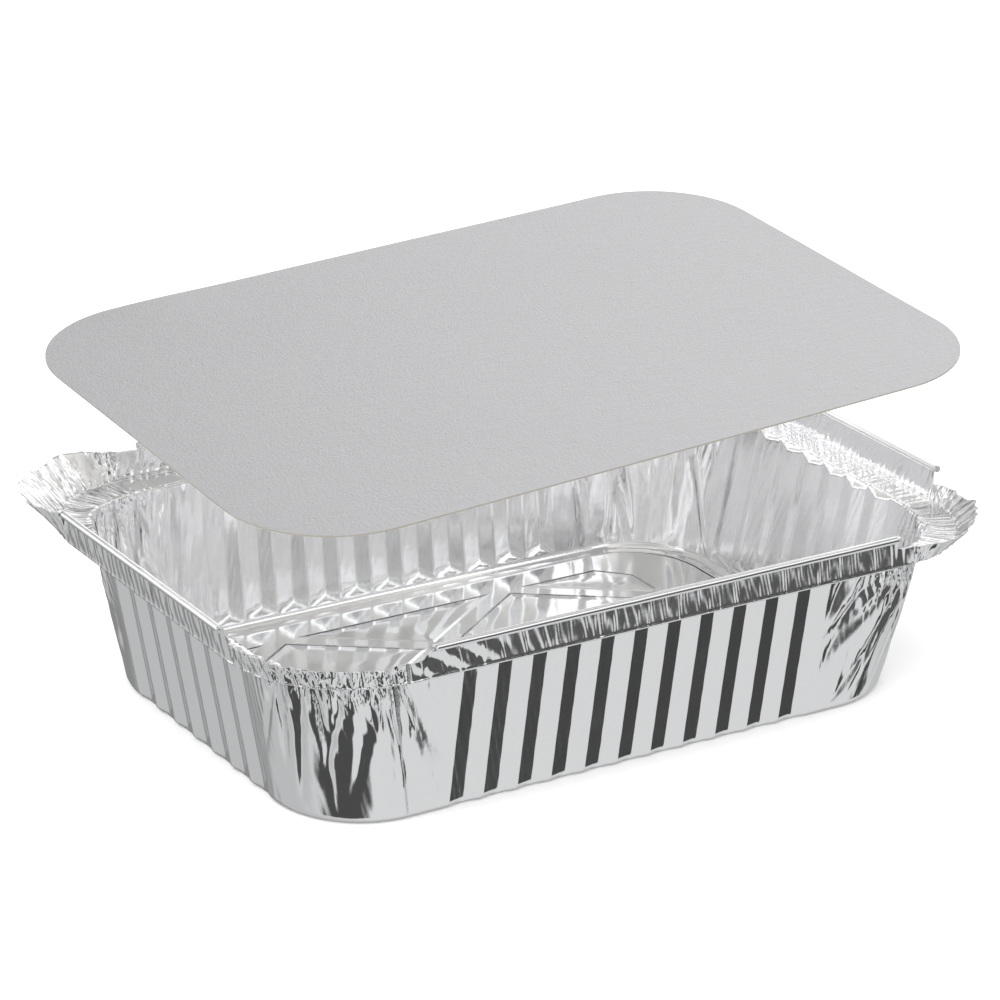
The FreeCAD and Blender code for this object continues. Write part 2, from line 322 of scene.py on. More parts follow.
# Each of the next three gives a point of the tray and how closely its foil is wrinkled there
def wallPoint(column, height, inset, around):
    size = [mix(a, b, height / tray["ledge"]) for a, b in zip(tray["base"], tray["mouth"])]
    gathered = 0.0
    if column.kind == "groove":
        push = groovePush(column, height)
        push += tray["wallWave"] * noise.noise((around / 21, height / 17, 3.3)) * smooth(1, 8, height)
    else:
        rise = smooth(*crumple["wallRise"], height)
        push = crumple["wallDepth"] * rise * cornerFold(column, around, height)
        gathered = smooth(*crumple["wrinkleRise"], height)
        if column.kind == "end":
            gathered *= smooth(0.4, 1.0, abs(column.share))
    spot, way = place(column, size, inset)
    return (spot - way * push).to_3d() + Vector((0, 0, height)), mix(*crumple["wrinkle"], gathered)


def ledgePoint(column, level, inset, around):
    height = tray["ledge"]
    size = [mix(a, b, level) for a, b in zip(tray["mouth"], tray["foot"])]
    push, lift = 0.0, 0.0
    if column.kind == "corner":
        fold = cornerFold(column, around, height)
        push = mix(crumple["wallDepth"] * fold,
                   0.5 * crumple["flangeDepth"] * flangeFold(column, around, height), level)
        lift = tray["ledgeCorner"] * (fold - 1) * math.sin(math.pi * level)
    wander = 2 * noise.noise((around / 15, 1, 1))
    beads = 0.5 + 0.5 * math.cos(2 * math.pi * around / tray["beadPitch"] + wander)
    lift += tray["beadHeight"] * (beads - 0.6) * (1 - level) * smooth(0.0, 0.12, level)
    wave = noise.noise((around / 9, level * 2, 6.1)) - 0.3
    lift += tray["ledgeWave"] * smooth(0, 0.1, level) * wave * (1 - level)
    spot, way = place(column, size, inset)
    point = (spot - way * push).to_3d() + Vector((0, 0, height + min(lift, tray["ledgeLift"])))
    return point, 1.0 if column.kind == "corner" else 0.3


def flangePoint(column, level, inset, around):
    ledge = tray["ledge"]
    height = mix(ledge, earTop(column, around), level)
    up = (height - ledge) / (tray["rimHeight"] - ledge)
    size = [mix(a, b, up) for a, b in zip(tray["foot"], tray["rim"])]
    lean = 0.0
    if column.kind == "corner":
        push = mix(0.5, 1.0, up) * crumple["flangeDepth"] * flangeFold(column, around, height)
        lean = tray["earFlare"][column.side] * (1 - (2 * column.first - 1) ** 4) * up
    else:
        middle = math.sin(math.pi * level)
        push = tray["flangeWave"] * middle * noise.noise((around / 11, height / 9, 9.9))
        reach, step = curlReach(column)
        if column.side == 0:
            waveHeight, waveLength = tray["frontWave"]
            begin, full, fading, end = tray["frontWaved"]
            fade = smooth(begin, full, step) * (1 - smooth(fading, end, step))
            phase = 2 * math.pi * (step + 1.1 * (height - ledge)) / waveLength
            push += waveHeight * fade * middle * math.sin(phase)
        if column.side == 3:
            dashHeight, dashPitch = tray["dashes"]
            dash = smooth(0.2, 0.9, math.cos(2 * math.pi * around / dashPitch))
            push -= dashHeight * dash * smooth(0.25, 0.4, level) * (1 - smooth(0.7, 0.85, level))
        nickDepth, nickHalf = tray["nick"]
        push += nickDepth * level * max(0.0, 1 - abs(abs(step) - reach - 1.2) / nickHalf)
    # the bent edge at the flange's foot stands out as a fine bead
    bead = 0.7 + 0.8 * noise.noise((around / 3, 5, 5))
    push -= tray["footBead"] * bead * math.exp(-((level - 0.05) / 0.035) ** 2)
    spot, way = place(column, size, inset, lean)
    return (spot - way * push).to_3d() + Vector((0, 0, height)), 1.0 if column.kind == "corner" else 0.45


def meshObject(name, verts, faces, uvs=None, wrinkle=None):
    mesh = bpy.data.meshes.new(name)
    mesh.from_pydata([v * mm for v in verts], [], faces)
    if uvs:
        layer = mesh.uv_layers.new(name="UVMap")
        for polygon in mesh.polygons:
            for corner, index in zip(polygon.loop_indices, polygon.vertices):
                layer.data[corner].uv = uvs[index]
    if wrinkle:
        values = mesh.attributes.new("wrinkle", "FLOAT", "POINT")
        values.data.foreach_set("value", wrinkle)
    mesh.update()
    thing = bpy.data.objects.new(name, mesh)
    bpy.context.scene.collection.objects.link(thing)
    return thing


# Replaces the object's mesh by what its modifiers make of it
def applyModifiers(thing):
    graph = bpy.context.evaluated_depsgraph_get()
    made = bpy.data.meshes.new_from_object(thing.evaluated_get(graph))
    thing.modifiers.clear()
    thing.data = made
    made.name = thing.name
    made.polygons.foreach_set("use_smooth", [True] * len(made.polygons))


def thicken(thing, thickness, offset, innerMaterial=0, rimMaterial=0):
    solidify = thing.modifiers.new("thickness", "SOLIDIFY")
    solidify.thickness = thickness * mm
    solidify.offset = offset
    solidify.material_offset = innerMaterial
    solidify.material_offset_rim = rimMaterial
    applyModifiers(thing)


floorShape = {
    "step": 0.85,
    "panel": (144.0, 95.0),
    "cut": 8.0,                         # cut off the panel's corners
    "rise": 0.4,                        # soft swell of the sheet; the crisp edge is the material's
    "softSlope": 4.5,
    "slope": 1.1,
    "shift": -5.0,
    "diamond": (70.0, 48.0),
    "rib": 4.2,
    "bulge": 0.35,
    "wave": 0.10,
    "wrinkle": 0.2,                     # amount, from 0 to 1
}
foilLook = {
    "colour": "#F0F1F2",
    # the inner walls' colour is lighter than the outside's: painted light that brightens the inside of the
    # tray
    "insideColourPaintedLighter": "#F8F8F9",
    "baseColour": "#F1F2F3",
    "roughness": 0.10,
    "roughVary": 0.08,
    "insideRoughness": 0.11,
    "baseRoughness": 0.09,
    # scales of the noises, per metre; where there are two, on the base and on the walls
    "lineScale": (60.0, 2600.0, 900.0),
    "fineScale": 900.0,
    "sheenScale": 85.0,
    "foldScale": ((120.0, 120.0, 120.0), (330.0, 60.0, 1.0)),
    "closeScale": ((90.0, 90.0, 90.0), (520.0, 190.0, 1.0)),
    "rollingLines": 0.004,              # from here to embossed, heights of the bumps
    "crinkle": 0.010,
    "wrinkles": 0.30,
    "gathers": 3.2,
    "embossed": 0.45,
    "evenWrinkles": 0.33,               # share beside the uneven ones
    "wrinklePitch": 2.5,
    "wrinkleLean": 0.3,
    "wrinkleWander": 9.0,
    "strongFrom": 0.6,                  # amount of wrinkle above which the close gathers show
}


# The diamonds' crisp edges as a height from 0 to 1, measured as floorHeight measures them
def embossedHeight(tree, spot):
    axes = addNode(tree, "ShaderNodeSeparateXYZ", spot).outputs
    x = addNode(tree, "ShaderNodeMath MULTIPLY_ADD", axes[0], 1000.0, -floorShape["shift"])
    y = addNode(tree, "ShaderNodeMath MULTIPLY", axes[1], 1000.0)
    farX, farY = addNode(tree, "ShaderNodeMath ABSOLUTE", x), addNode(tree, "ShaderNodeMath ABSOLUTE", y)
    halfX, halfY = floorShape["panel"][0] / 2, floorShape["panel"][1] / 2
    found = addNode(tree, "ShaderNodeMath MINIMUM", addNode(tree, "ShaderNodeMath SUBTRACT", halfX, farX),
                    addNode(tree, "ShaderNodeMath SUBTRACT", halfY, farY))
    both = addNode(tree, "ShaderNodeMath SUBTRACT", halfX + halfY - floorShape["cut"],
                   addNode(tree, "ShaderNodeMath ADD", farX, farY))
    found = addNode(tree, "ShaderNodeMath MINIMUM", found,
                    addNode(tree, "ShaderNodeMath MULTIPLY", both, 0.707))
    pitchX, pitchY = floorShape["diamond"]
    for lean in (1, -1):
        line = addNode(tree, "ShaderNodeMath MULTIPLY_ADD", x, -lean / pitchX,
                       addNode(tree, "ShaderNodeMath DIVIDE", y, pitchY))
        line = addNode(tree, "ShaderNodeMath SUBTRACT", line, 0.5)
        off = addNode(tree, "ShaderNodeMath SUBTRACT", line, addNode(tree, "ShaderNodeMath ROUND", line))
        across = addNode(tree, "ShaderNodeMath MULTIPLY_ADD", addNode(tree, "ShaderNodeMath ABSOLUTE", off),
                         pitchY * pitchX / math.hypot(pitchX, pitchY), -floorShape["rib"] / 2)
        found = addNode(tree, "ShaderNodeMath MINIMUM", found, across)
    return addNode(tree, "ShaderNodeMapRange", props={"interpolation_type": "SMOOTHSTEP"}, Value=found,
                   From_Min=0.0, From_Max=floorShape["slope"])


# a noise's distance from its middle value: sharp creases where it crosses, broad rises between
def creases(tree, vector, detail, roughness):
    cloud = addNode(tree, "ShaderNodeTexNoise", Vector=vector, Scale=1.0, Detail=detail, Roughness=roughness)
    return cloud, addNode(tree, "ShaderNodeMath ABSOLUTE",
                          addNode(tree, "ShaderNodeMath SUBTRACT", cloud, 0.5))


# rolled aluminium foil: a mirror blurred a little by fine rolling lines, with upright wrinkles
# where the press gathers it, so that flat stretches show clean tones and gathers break them up
def foilMaterial(name, upright, colour, roughness):
    material = newMaterial(name)
    tree = material.node_tree
    spot = addNode(tree, "ShaderNodeTexCoord").outputs
    solid = spot["Object"]
    flat = spot["UV"] if upright else solid
    lines = addNode(tree, "ShaderNodeMapping", solid, Scale=foilLook["lineScale"])
    lineNoise = addNode(tree, "ShaderNodeTexNoise", Vector=lines, Scale=1.0, Detail=2.0)
    fine = addNode(tree, "ShaderNodeTexNoise", Vector=solid, Scale=foilLook["fineScale"], Detail=2.0)
    sheen = addNode(tree, "ShaderNodeTexNoise", Vector=solid, Scale=foilLook["sheenScale"], Detail=3.0)
    folds = addNode(tree, "ShaderNodeMapping", flat, Scale=foilLook["foldScale"][upright])
    foldNoise, crease = creases(tree, folds, 0.8, 0.4)
    # close, sharp gathers where the attribute is strong, as at the corners of the rim
    close = addNode(tree, "ShaderNodeMapping", flat, Scale=foilLook["closeScale"][upright])
    closeCrease = creases(tree, close, 2.0, 0.5)[1]
    if upright:
        # even, slightly leaning wrinkles along the rim
        around = addNode(tree, "ShaderNodeSeparateXYZ", flat).outputs
        leaning = addNode(tree, "ShaderNodeMath MULTIPLY_ADD", around[1], foilLook["wrinkleLean"], around[0])
        phase = addNode(tree, "ShaderNodeMath MULTIPLY_ADD", leaning,
                        2 * math.pi / (foilLook["wrinklePitch"] * mm),
                        addNode(tree, "ShaderNodeMath MULTIPLY", foldNoise, foilLook["wrinkleWander"]))
        crease = addNode(tree, "ShaderNodeMath MULTIPLY_ADD", addNode(tree, "ShaderNodeMath SINE", phase),
                         foilLook["evenWrinkles"], crease)
    amount = addNode(tree, "ShaderNodeAttribute", props={"attribute_name": "wrinkle"}).outputs["Fac"]
    crease = addNode(tree, "ShaderNodeMath MULTIPLY", crease, amount)
    strong = addNode(tree, "ShaderNodeMath SUBTRACT", amount, foilLook["strongFrom"])
    strong = addNode(tree, "ShaderNodeMath MAXIMUM", strong, 0.0)
    closeCrease = addNode(tree, "ShaderNodeMath MULTIPLY", closeCrease, strong)
    heights = [("rollingLines", lineNoise), ("crinkle", fine), ("wrinkles", crease), ("gathers", closeCrease)]
    if not upright:
        heights.append(("embossed", embossedHeight(tree, solid)))
    below = {}
    for setting, height in heights:
        below["Normal"] = addNode(tree, "ShaderNodeBump", Strength=1.0, Distance=foilLook[setting] * mm,
                                  Height=height, **below)
    rough = addNode(tree, "ShaderNodeMath MULTIPLY_ADD", sheen, foilLook["roughVary"],
                    roughness - foilLook["roughVary"] / 2)
    shader = addNode(tree, "ShaderNodeBsdfPrincipled", Metallic=1.0, Base_Color=linearColour(colour),
                     Roughness=rough, **below)
    addNode(tree, "ShaderNodeOutputMaterial", shader)
    return material


# the bright side is outside; the satin side, seen inside, blurs what it mirrors more and has a lighter
# colour, a painted light that brightens the inner walls; the base lies flat and mirrors most clearly
wallFoil = foilMaterial("rolled_foil_walls", True, foilLook["colour"], foilLook["roughness"])
insideFoilPaintedLighter = foilMaterial("satin_side_of_foil_painted_lighter", True, foilLook["insideColourPaintedLighter"], foilLook["insideRoughness"])
baseFoil = foilMaterial("rolled_foil_base", False, foilLook["baseColour"], foilLook["baseRoughness"])


def buildWalls():
    points = {"wall": wallPoint, "ledge": ledgePoint, "flange": flangePoint}
    verts, uvs, wrinkle = [], [], []
    for zone, level, inset in trayRows:
        for column, around in zip(columns, roundAt):
            point, gathered = points[zone](column, level, inset, around)
            verts.append(point)
            uvs.append((around * mm, point.z * mm))
            wrinkle.append(gathered)
    wide = len(columns)
    faces = []
    for low in range(0, (len(trayRows) - 1) * wide, wide):
        for k in range(wide):
            after = (k + 1) % wide
            faces.append((low + k, low + after, low + wide + after, low + wide + k))
    walls = meshObject("tray_walls", verts, faces, uvs, wrinkle)
    walls.data.materials.append(wallFoil)
    walls.data.materials.append(insideFoilPaintedLighter)
    thicken(walls, tray["foil"], -1.0, 1)
    return walls


trayWalls = buildWalls()
print("walls:", len(trayWalls.data.polygons), "faces")


# A flat grid that fills a rounded rectangle: each row runs from edge to edge
def roundedPlate(size, step):
    halfX, halfY, radius = size[0] / 2, size[1] / 2, size[2]
    turns = math.ceil(radius * math.pi / 2 / step)
    straight = math.ceil((halfY - radius) * 2 / step)
    upper = [(halfY - radius + radius * math.sin(math.pi / 2 * k / turns),
              halfX - radius + radius * math.cos(math.pi / 2 * k / turns)) for k in range(turns + 1)]
    middle = [(mix(radius - halfY, halfY - radius, k / straight), halfX) for k in range(1, straight)]
    rows = [(-y, reach) for y, reach in reversed(upper)] + middle + upper
    wide = math.ceil(2 * halfX / step)
    verts = [Vector((mix(-reach, reach, i / wide), y, 0)) for y, reach in rows for i in range(wide + 1)]
    faces = []
    for j in range(len(rows) - 1):
        for i in range(wide):
            k = j * (wide + 1) + i
            faces.append((k, k + 1, k + wide + 2, k + wide + 1))
    return verts, faces


# the pressed diamonds: a soft swell between the panel's edge and the crossing ribs
def floorHeight(x, y):
    x -= floorShape["shift"]
    halfX, halfY = floorShape["panel"][0] / 2, floorShape["panel"][1] / 2
    found = min(halfX - abs(x), halfY - abs(y), (halfX + halfY - floorShape["cut"] - abs(x) - abs(y)) * 0.707)
    if found <= 0:
        return 0.0
    pitchX, pitchY = floorShape["diamond"]
    for lean in (1, -1):
        line = (y - lean * x * pitchY / pitchX) / pitchY - 0.5
        across = abs(line - round(line)) * pitchY * pitchX / math.hypot(pitchX, pitchY)
        found = min(found, across - floorShape["rib"] / 2)
    rise = smooth(0.0, floorShape["softSlope"], found)
    return floorShape["rise"] * rise + floorShape["bulge"] * smooth(1, 16, found)


def buildFloor():
    inset = tray["floorInset"]
    length, width, radius = tray["base"]
    size = (length - 2 * inset, width - 2 * inset, radius - inset)
    flat, faces = roundedPlate(size, floorShape["step"])
    verts = []
    for v in flat:
        margin = min(size[0] / 2 - abs(v.x), size[1] / 2 - abs(v.y))
        wave = floorShape["wave"] * smooth(0, 10, margin) * noise.noise((v.x / 19, v.y / 19, 1.7))
        verts.append(Vector((v.x, v.y, floorHeight(v.x, v.y) + max(wave, 0.0))))
    base = meshObject("tray_floor", verts, faces, None, [floorShape["wrinkle"]] * len(verts))
    base.data.materials.append(baseFoil)
    thicken(base, tray["foil"], 1.0)
    return base


trayFloor = buildFloor()
print("floor:", len(trayFloor.data.polygons), "faces")

curl = {
    "radius": 1.1,
    "turns": 2.2,
    "tightening": 0.72,
    "foil": 0.27,
    "sunk": 0.25,                       # how far it overlaps the rim below it
    "unevenness": 0.2,
    "waveLength": 9.0,
    "stepsAlong": 130,
    "stepsRound": 49,
    "seed": 3.0,
}


# A roll of unit length, as a grid wound up, set on each side's point and stretched to its run
def curlNodes(material):
    tree = bpy.data.node_groups.new("curledEdges", "GeometryNodeTree")
    tree.interface.new_socket("Sides", in_out="INPUT", socket_type="NodeSocketGeometry")
    for name in ("Radius", "Turns", "Tightening", "Foil", "Unevenness", "WaveLength", "Seed"):
        tree.interface.new_socket(name, in_out="INPUT", socket_type="NodeSocketFloat")
    tree.interface.new_socket("Rolls", in_out="OUTPUT", socket_type="NodeSocketGeometry")
    given = addNode(tree, "NodeGroupInput").outputs
    grid = addNode(tree, "GeometryNodeMeshGrid", 1.0, 1.0, curl["stepsAlong"], curl["stepsRound"])
    spot = addNode(tree, "ShaderNodeSeparateXYZ", addNode(tree, "GeometryNodeInputPosition")).outputs
    # the outermost rows and columns of the grid close the sheet's cut edges, where both faces meet
    borders, shares = [], []
    for axis, steps in ((0, curl["stepsAlong"]), (1, curl["stepsRound"])):
        spread = addNode(tree, "ShaderNodeMath MULTIPLY", spot[axis], (steps - 1) / (steps - 3))
        spread = addNode(tree, "ShaderNodeMath MINIMUM", spread, 0.5)
        shares.append(addNode(tree, "ShaderNodeMath MAXIMUM", spread, -0.5))
        far = addNode(tree, "ShaderNodeMath ABSOLUTE", spot[axis])
        borders.append(addNode(tree, "ShaderNodeMath GREATER_THAN", far, 0.5 - 0.25 / (steps - 1)))
    closing = addNode(tree, "ShaderNodeMath MAXIMUM", *borders)
    across = addNode(tree, "ShaderNodeMath MULTIPLY", shares[1], 2.0)
    # 0 at the sheet's outer end and 1 at its inner end
    wound = addNode(tree, "ShaderNodeMath SUBTRACT", 1.0, addNode(tree, "ShaderNodeMath ABSOLUTE", across))
    turned = addNode(tree, "ShaderNodeMath MULTIPLY", wound, given["Turns"])
    turned = addNode(tree, "ShaderNodeMath MULTIPLY", turned, 2 * math.pi)
    angle = addNode(tree, "ShaderNodeMath SUBTRACT", math.pi, turned)
    inner = addNode(tree, "ShaderNodeMath GREATER_THAN", across, 0.0)
    halfway = addNode(tree, "ShaderNodeMath SUBTRACT", 0.5, inner)
    inner = addNode(tree, "ShaderNodeMath MULTIPLY_ADD", closing, halfway, inner)
    tightened = addNode(tree, "ShaderNodeMath MULTIPLY", wound, given["Tightening"])
    radius = addNode(tree, "ShaderNodeMath SUBTRACT", given["Radius"], tightened)
    radius = addNode(tree, "ShaderNodeMath SUBTRACT", radius,
                     addNode(tree, "ShaderNodeMath MULTIPLY", inner, given["Foil"]))
    outward = addNode(tree, "ShaderNodeMath MULTIPLY", radius, addNode(tree, "ShaderNodeMath COSINE", angle))
    rise = addNode(tree, "ShaderNodeMath MULTIPLY", radius, addNode(tree, "ShaderNodeMath SINE", angle))
    # local axes: x along the roll, -y outward, z up
    shaped = addNode(tree, "ShaderNodeCombineXYZ", shares[0],
                     addNode(tree, "ShaderNodeMath MULTIPLY", outward, -1.0), rise)
    roll = addNode(tree, "GeometryNodeSetPosition", grid, Position=shaped)
    turn = addNode(tree, "GeometryNodeInputNamedAttribute", "turn", props={"data_type": "FLOAT"})
    run = addNode(tree, "GeometryNodeInputNamedAttribute", "run", props={"data_type": "FLOAT"})
    placed = addNode(tree, "GeometryNodeInstanceOnPoints", Points=given["Sides"], Instance=roll,
                     Rotation=addNode(tree, "ShaderNodeCombineXYZ", 0.0, 0.0, turn),
                     Scale=addNode(tree, "ShaderNodeCombineXYZ", run, 1.0, 1.0))
    real = addNode(tree, "GeometryNodeRealizeInstances", placed)
    wave = addNode(tree, "ShaderNodeTexNoise", props={"noise_dimensions": "4D"}, W=given["Seed"], Detail=2.0,
                   Scale=addNode(tree, "ShaderNodeMath DIVIDE", 1.0, given["WaveLength"]))
    centred = addNode(tree, "ShaderNodeVectorMath SUBTRACT", wave.outputs["Color"], (0.5, 0.5, 0.5))
    sized = addNode(tree, "ShaderNodeVectorMath SCALE", centred, Scale=given["Unevenness"])
    shaken = addNode(tree, "GeometryNodeSetPosition", real, Offset=sized)
    closed = addNode(tree, "GeometryNodeMergeByDistance", shaken, Distance=0.001 * mm)
    outside = addNode(tree, "GeometryNodeFlipFaces", closed)
    again = addNode(tree, "GeometryNodeRealizeInstances", outside)
    addNode(tree, "NodeGroupOutput", addNode(tree, "GeometryNodeSetMaterial", again, Material=material))
    return tree


def buildCurls():
    outX = tray["rim"][0] / 2 + curl["radius"] - curl["sunk"]
    outY = tray["rim"][1] / 2 + curl["radius"] - curl["sunk"]
    height = tray["rimHeight"]
    places = [Vector((0, -outY, height)), Vector((outX, 0, height)), Vector((0, outY, height)),
              Vector((-outX, 0, height))]
    rolls = meshObject("tray_curls", places, [])
    turn = rolls.data.attributes.new("turn", "FLOAT", "POINT")
    turn.data.foreach_set("value", [0.0, math.pi / 2, math.pi, -math.pi / 2])
    run = rolls.data.attributes.new("run", "FLOAT", "POINT")
    run.data.foreach_set("value", [tray["curlLength"] * mm, tray["curlWidth"] * mm] * 2)
    wind = rolls.modifiers.new("rolls", "NODES")
    wind.node_group = curlNodes(wallFoil)
    amounts = {
        "Radius": curl["radius"] * mm, "Turns": curl["turns"], "Tightening": curl["tightening"] * mm,
        "Foil": curl["foil"] * mm, "Unevenness": curl["unevenness"] * mm,
        "WaveLength": curl["waveLength"] * mm, "Seed": curl["seed"],
    }
    for item in wind.node_group.interface.items_tree:
        if item.in_out == "INPUT" and item.name in amounts:
            wind[item.identifier] = amounts[item.name]
    rolls.update_tag()
    bpy.context.view_layer.update()
    applyModifiers(rolls)
    return rolls


trayCurls = buildCurls()
print("curls:", len(trayCurls.data.polygons), "faces")

lid = {
    "size": (204.9, 142.9, 29.25),
    "thickness": 0.45,
    "seat": 43.45,                      # underside when it is down
    "pivot": (-429.618, -444.882, -65.601),
    "axis": (0.71934, -0.694658, 0.0),
    "swing": 4.7,                       # degrees up from its seat
    "warp": 0.5,                        # upward only, so that it stays off the ledge
    "dent": (0.35, -62, 16),            # rise of the dented back edge, its place and half width
    "step": 2.0,
    "faceRoughness": 0.42,
    "faceColours": ("#C2C2C4", "#CFCFD0"),
    "faceScales": (1500.0, (180.0, 700.0, 300.0), 26.0),    # grain, fibre and mottle, per metre
    "grainBump": 0.13,
    "boardScale": 2500.0,
    "boardBump": 0.03,
}


# foil-faced board, matt side out: the metal's light spread wide by fine board grain, so that it
# stays one even pale grey with a faint mottle
def lidMaterial():
    material = newMaterial("matt_foil_faced_board")
    tree = material.node_tree
    spot = addNode(tree, "ShaderNodeTexCoord").outputs["Object"]
    grainScale, fibreScale, patchScale = lid["faceScales"]
    grain = addNode(tree, "ShaderNodeTexNoise", Vector=spot, Scale=grainScale, Detail=3.0, Roughness=0.6)
    fibre = addNode(tree, "ShaderNodeTexNoise", Scale=1.0, Detail=3.0,
                    Vector=addNode(tree, "ShaderNodeMapping", spot, Scale=fibreScale))
    patch = addNode(tree, "ShaderNodeTexNoise", Vector=spot, Scale=patchScale, Detail=3.0)
    bump = addNode(tree, "ShaderNodeBump", Strength=1.0, Distance=lid["grainBump"] * mm,
                   Height=addNode(tree, "ShaderNodeMath MULTIPLY_ADD", fibre, 0.7, grain))
    tone = addNode(tree, "ShaderNodeMix", patch, props={"data_type": "RGBA"},
                   i6=linearColour(lid["faceColours"][0]), i7=linearColour(lid["faceColours"][1]))
    rough = addNode(tree, "ShaderNodeMath MULTIPLY_ADD", patch, 0.08, lid["faceRoughness"] - 0.04)
    shader = addNode(tree, "ShaderNodeBsdfPrincipled", Metallic=1.0, Base_Color=tone.outputs[2],
                     Roughness=rough, Normal=bump)
    addNode(tree, "ShaderNodeOutputMaterial", shader)
    return material


# plain board: white paper fibres under the lid, and the darker grey line of its cut edge, both
# dull beside the foil
def boardMaterial(name, dark, light, roughness):
    material = newMaterial(name)
    tree = material.node_tree
    spot = addNode(tree, "ShaderNodeTexCoord").outputs["Object"]
    fibre = addNode(tree, "ShaderNodeTexNoise", Vector=spot, Scale=lid["boardScale"], Detail=3.0)
    bump = addNode(tree, "ShaderNodeBump", Strength=1.0, Distance=lid["boardBump"] * mm, Height=fibre)
    tone = addNode(tree, "ShaderNodeMix", fibre, props={"data_type": "RGBA"},
                   i6=linearColour(dark), i7=linearColour(light))
    shader = addNode(tree, "ShaderNodeBsdfPrincipled", Base_Color=tone.outputs[2], Roughness=roughness,
                     Normal=bump)
    addNode(tree, "ShaderNodeOutputMaterial", shader)
    return material


def buildLid():
    flat, faces = roundedPlate(lid["size"], lid["step"])
    pivot = Vector(lid["pivot"])
    swing = Matrix.Rotation(math.radians(lid["swing"]), 3, Vector(lid["axis"]))
    dentRise, dentPlace, dentHalf = lid["dent"]
    verts = []
    for v in flat:
        warp = lid["warp"] * (0.5 + 0.5 * noise.noise((v.x / 75, v.y / 60, 2.2)))
        warp += dentRise * smooth(40, 75, v.y) * math.exp(-((v.x - dentPlace) / dentHalf) ** 2)
        seated = Vector((v.x, v.y, lid["seat"] + warp))
        verts.append(pivot + swing @ (seated - pivot))
    board = meshObject("lid_board", verts, faces)
    board.data.materials.append(lidMaterial())
    board.data.materials.append(boardMaterial("white_board_underside", "#E9E8E4", "#F4F3F0", 0.7))
    board.data.materials.append(boardMaterial("cut_grey_board_edge", "#7D7972", "#8F8B84", 0.8))
    thicken(board, lid["thickness"], 1.0, 1, 2)
    # the cut edge is flat, with sharp corners along it
    rim = [polygon for polygon in board.data.polygons if polygon.material_index == 2]
    for polygon in rim:
        polygon.use_smooth = False
    sharp = {key for polygon in rim for key in polygon.edge_keys}
    for edge in board.data.edges:
        edge.use_edge_sharp = edge.key in sharp
    return board


lidBoard = buildLid()
print("lid:", len(lidBoard.data.polygons), "faces")

for piece in (trayWalls, trayFloor, trayCurls):
    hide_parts("tray")
    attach(piece, "tray")
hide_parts("lid")
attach(lidBoard, "lid")

shot = {
    "picture": 1000,                    # pixels across and down
    "sensor": 36,
    "focal": 4022.916,                  # pixels
    "azimuth": -32.664,                 # degrees, as the next two
    "elevation": 21.888,
    "roll": 1.368,
    "place": (-516.637, -801.225, 431.617),
    "middle": (499.24, 502.02),         # pixels
}


def buildCamera():
    az, el, roll = (math.radians(shot[k]) for k in ("azimuth", "elevation", "roll"))
    back = Vector((math.sin(az) * math.cos(el), -math.cos(az) * math.cos(el), math.sin(el)))
    right = Vector((math.cos(az), math.sin(az), 0))
    up = back.cross(right)
    rolled = Matrix((math.cos(roll) * right + math.sin(roll) * up,
                     -math.sin(roll) * right + math.cos(roll) * up, back))
    wide, (middleX, middleY) = shot["picture"], shot["middle"]
    data = bpy.data.cameras.new("camera")
    data.sensor_width = shot["sensor"]
    data.lens = shot["sensor"] * shot["focal"] / wide
    data.shift_x = (wide / 2 - middleX) / wide
    data.shift_y = (middleY - wide / 2) / wide
    data.clip_start, data.clip_end = 0.01, 50
    camera = bpy.data.objects.new("camera", data)
    camera.matrix_world = Matrix.Translation(Vector(shot["place"]) * mm) @ rolled.transposed().to_4x4()
    bpy.context.scene.collection.objects.link(camera)
    bpy.context.scene.camera = camera


buildCamera()

# The foil mirrors a white studio with some darker stands round it: direction (azimuth from +X,
# elevation), full angle, fade angle, and how much of the light the stand takes away
studio = {
    "camera": 1.0,
    "diffuse": 1.5,
    "above": 1.31,
    "frontBelow": 0.75,
    "backBelow": 0.55,
    "sides": (-0.35, 0.35),             # from front to back, and from below to above, as the
    "horizon": (-0.12, 0.05),           # direction's y and z
    "stands": [
        (-22.5, -33, 6.5, 10, 0.92),
        (-57, -8, 20, 27, 0.87),
        (85, -24, 12, 34, 0.5),
        (-135, -46, 15, 27, 0.9),
        (-95, -33, 2.5, 7, 0.75),
        (0, 90, 30, 55, 0.72),
        (-120, 32, 20, 42, 0.5),
        (-148, 2, 18, 36, 0.66),
        (-25, 12, 14, 34, 0.6),
        (150, 35, 10, 26, 0.5),
        (88, 14, 14, 31, 0.7),
    ],
    "ground": "#F6F6F6",
    "groundReach": 6000.0,
    "groundDrop": 0.05,
    "lampSide": 1.6,                    # metres
    "lampPlace": (-0.9, -0.6, 2.0),     # metres
    "lampPower": 36,                    # watts
}


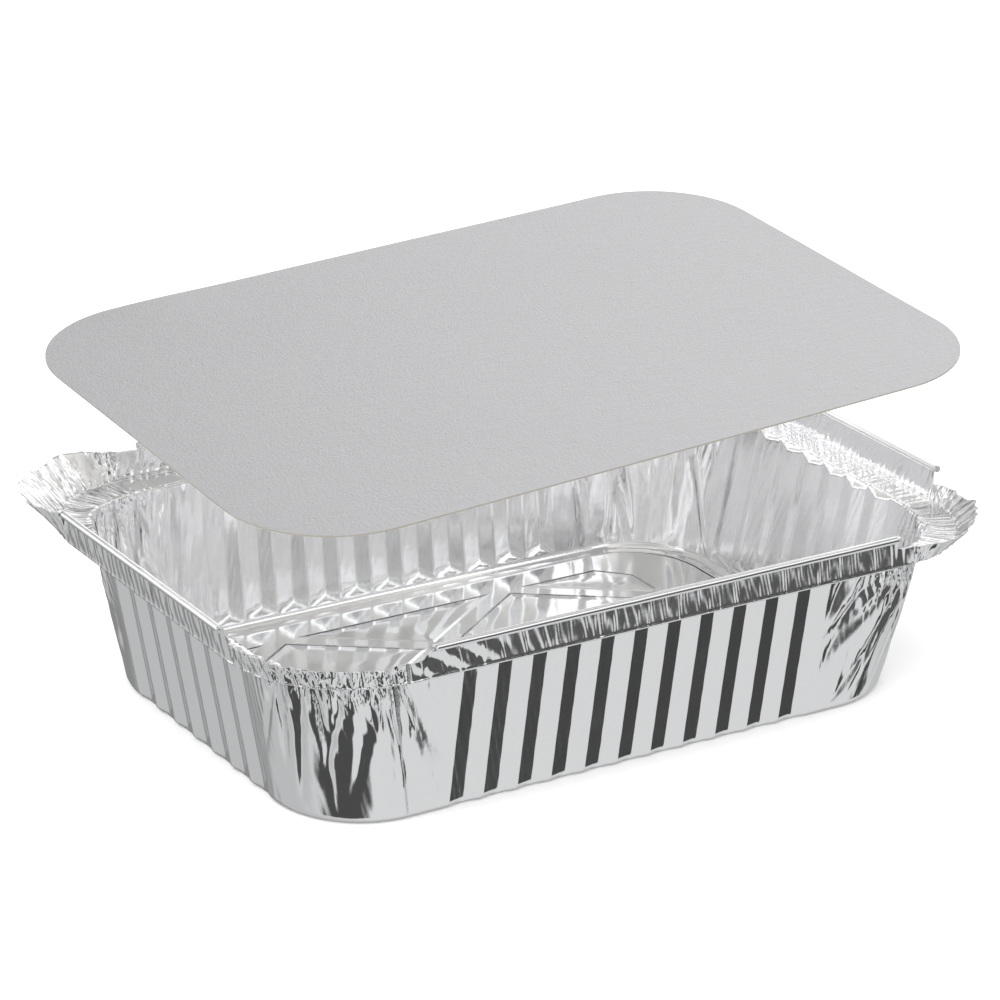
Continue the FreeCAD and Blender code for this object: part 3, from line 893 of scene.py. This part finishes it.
def buildWorld():
    world = bpy.data.worlds.new("studio")
    world.use_nodes = True
    tree = world.node_tree
    tree.nodes.clear()
    way = addNode(tree, "ShaderNodeNewGeometry").outputs["Incoming"]
    out = addNode(tree, "ShaderNodeVectorMath SCALE", way, Scale=-1.0)
    axes = addNode(tree, "ShaderNodeSeparateXYZ", out).outputs
    eased = {"interpolation_type": "SMOOTHSTEP"}
    front, back = studio["sides"]
    low, high = studio["horizon"]
    side = addNode(tree, "ShaderNodeMapRange", props=eased, Value=axes[1], From_Min=front, From_Max=back,
                   To_Min=studio["frontBelow"], To_Max=studio["backBelow"])
    light = addNode(tree, "ShaderNodeMapRange", props=eased, Value=axes[2], From_Min=low, From_Max=high,
                    To_Min=side, To_Max=studio["above"])
    for azimuth, elevation, full, fade, taken in studio["stands"]:
        az, el = math.radians(azimuth), math.radians(elevation)
        toward = (math.cos(az) * math.cos(el), math.sin(az) * math.cos(el), math.sin(el))
        near = addNode(tree, "ShaderNodeVectorMath DOT_PRODUCT", out, toward).outputs["Value"]
        kept = addNode(tree, "ShaderNodeMapRange", props=eased, Value=near, To_Min=1.0, To_Max=1 - taken,
                       From_Min=math.cos(math.radians(fade)), From_Max=math.cos(math.radians(full)))
        light = addNode(tree, "ShaderNodeMath MULTIPLY", light, kept)
    path = addNode(tree, "ShaderNodeLightPath").outputs
    mirrored = addNode(tree, "ShaderNodeMath MAXIMUM", path["Is Glossy Ray"], path["Is Transmission Ray"])
    seen = addNode(tree, "ShaderNodeMix", mirrored, props={"data_type": "FLOAT"}, i2=studio["diffuse"],
                   i3=light)
    seen = addNode(tree, "ShaderNodeMix", path["Is Camera Ray"], props={"data_type": "FLOAT"}, i2=seen,
                   i3=studio["camera"])
    glow = addNode(tree, "ShaderNodeBackground", Color=(1.0, 1.0, 1.0, 1.0), Strength=seen)
    addNode(tree, "ShaderNodeOutputWorld", glow)
    bpy.context.scene.world = world


def buildGroundAndLamp():
    reach = studio["groundReach"]
    corners = [Vector((x * reach, y * reach, -studio["groundDrop"]))
               for x, y in ((-1, -1), (1, -1), (1, 1), (-1, 1))]
    ground = meshObject("ground", corners, [(0, 1, 2, 3)])
    white = newMaterial("white_paper_ground")    # plain paper: dull and even, it only takes the shadow
    shader = addNode(white.node_tree, "ShaderNodeBsdfPrincipled", Base_Color=linearColour(studio["ground"]),
                     Roughness=0.9)
    addNode(white.node_tree, "ShaderNodeOutputMaterial", shader)
    ground.data.materials.append(white)
    ground.visible_glossy = False
    lamp = bpy.data.lights.new("softbox", "AREA")
    lamp.shape = "RECTANGLE"
    lamp.size, lamp.size_y = studio["lampSide"], studio["lampSide"]
    lamp.energy = studio["lampPower"]
    holder = bpy.data.objects.new("softbox", lamp)
    holder.location = studio["lampPlace"]
    holder.rotation_euler = (-holder.location).to_track_quat("-Z", "Y").to_euler()
    holder.visible_glossy = False
    bpy.context.scene.collection.objects.link(holder)


buildWorld()
buildGroundAndLamp()
bpy.context.scene.view_settings.view_transform = "Standard"
print("studio done")
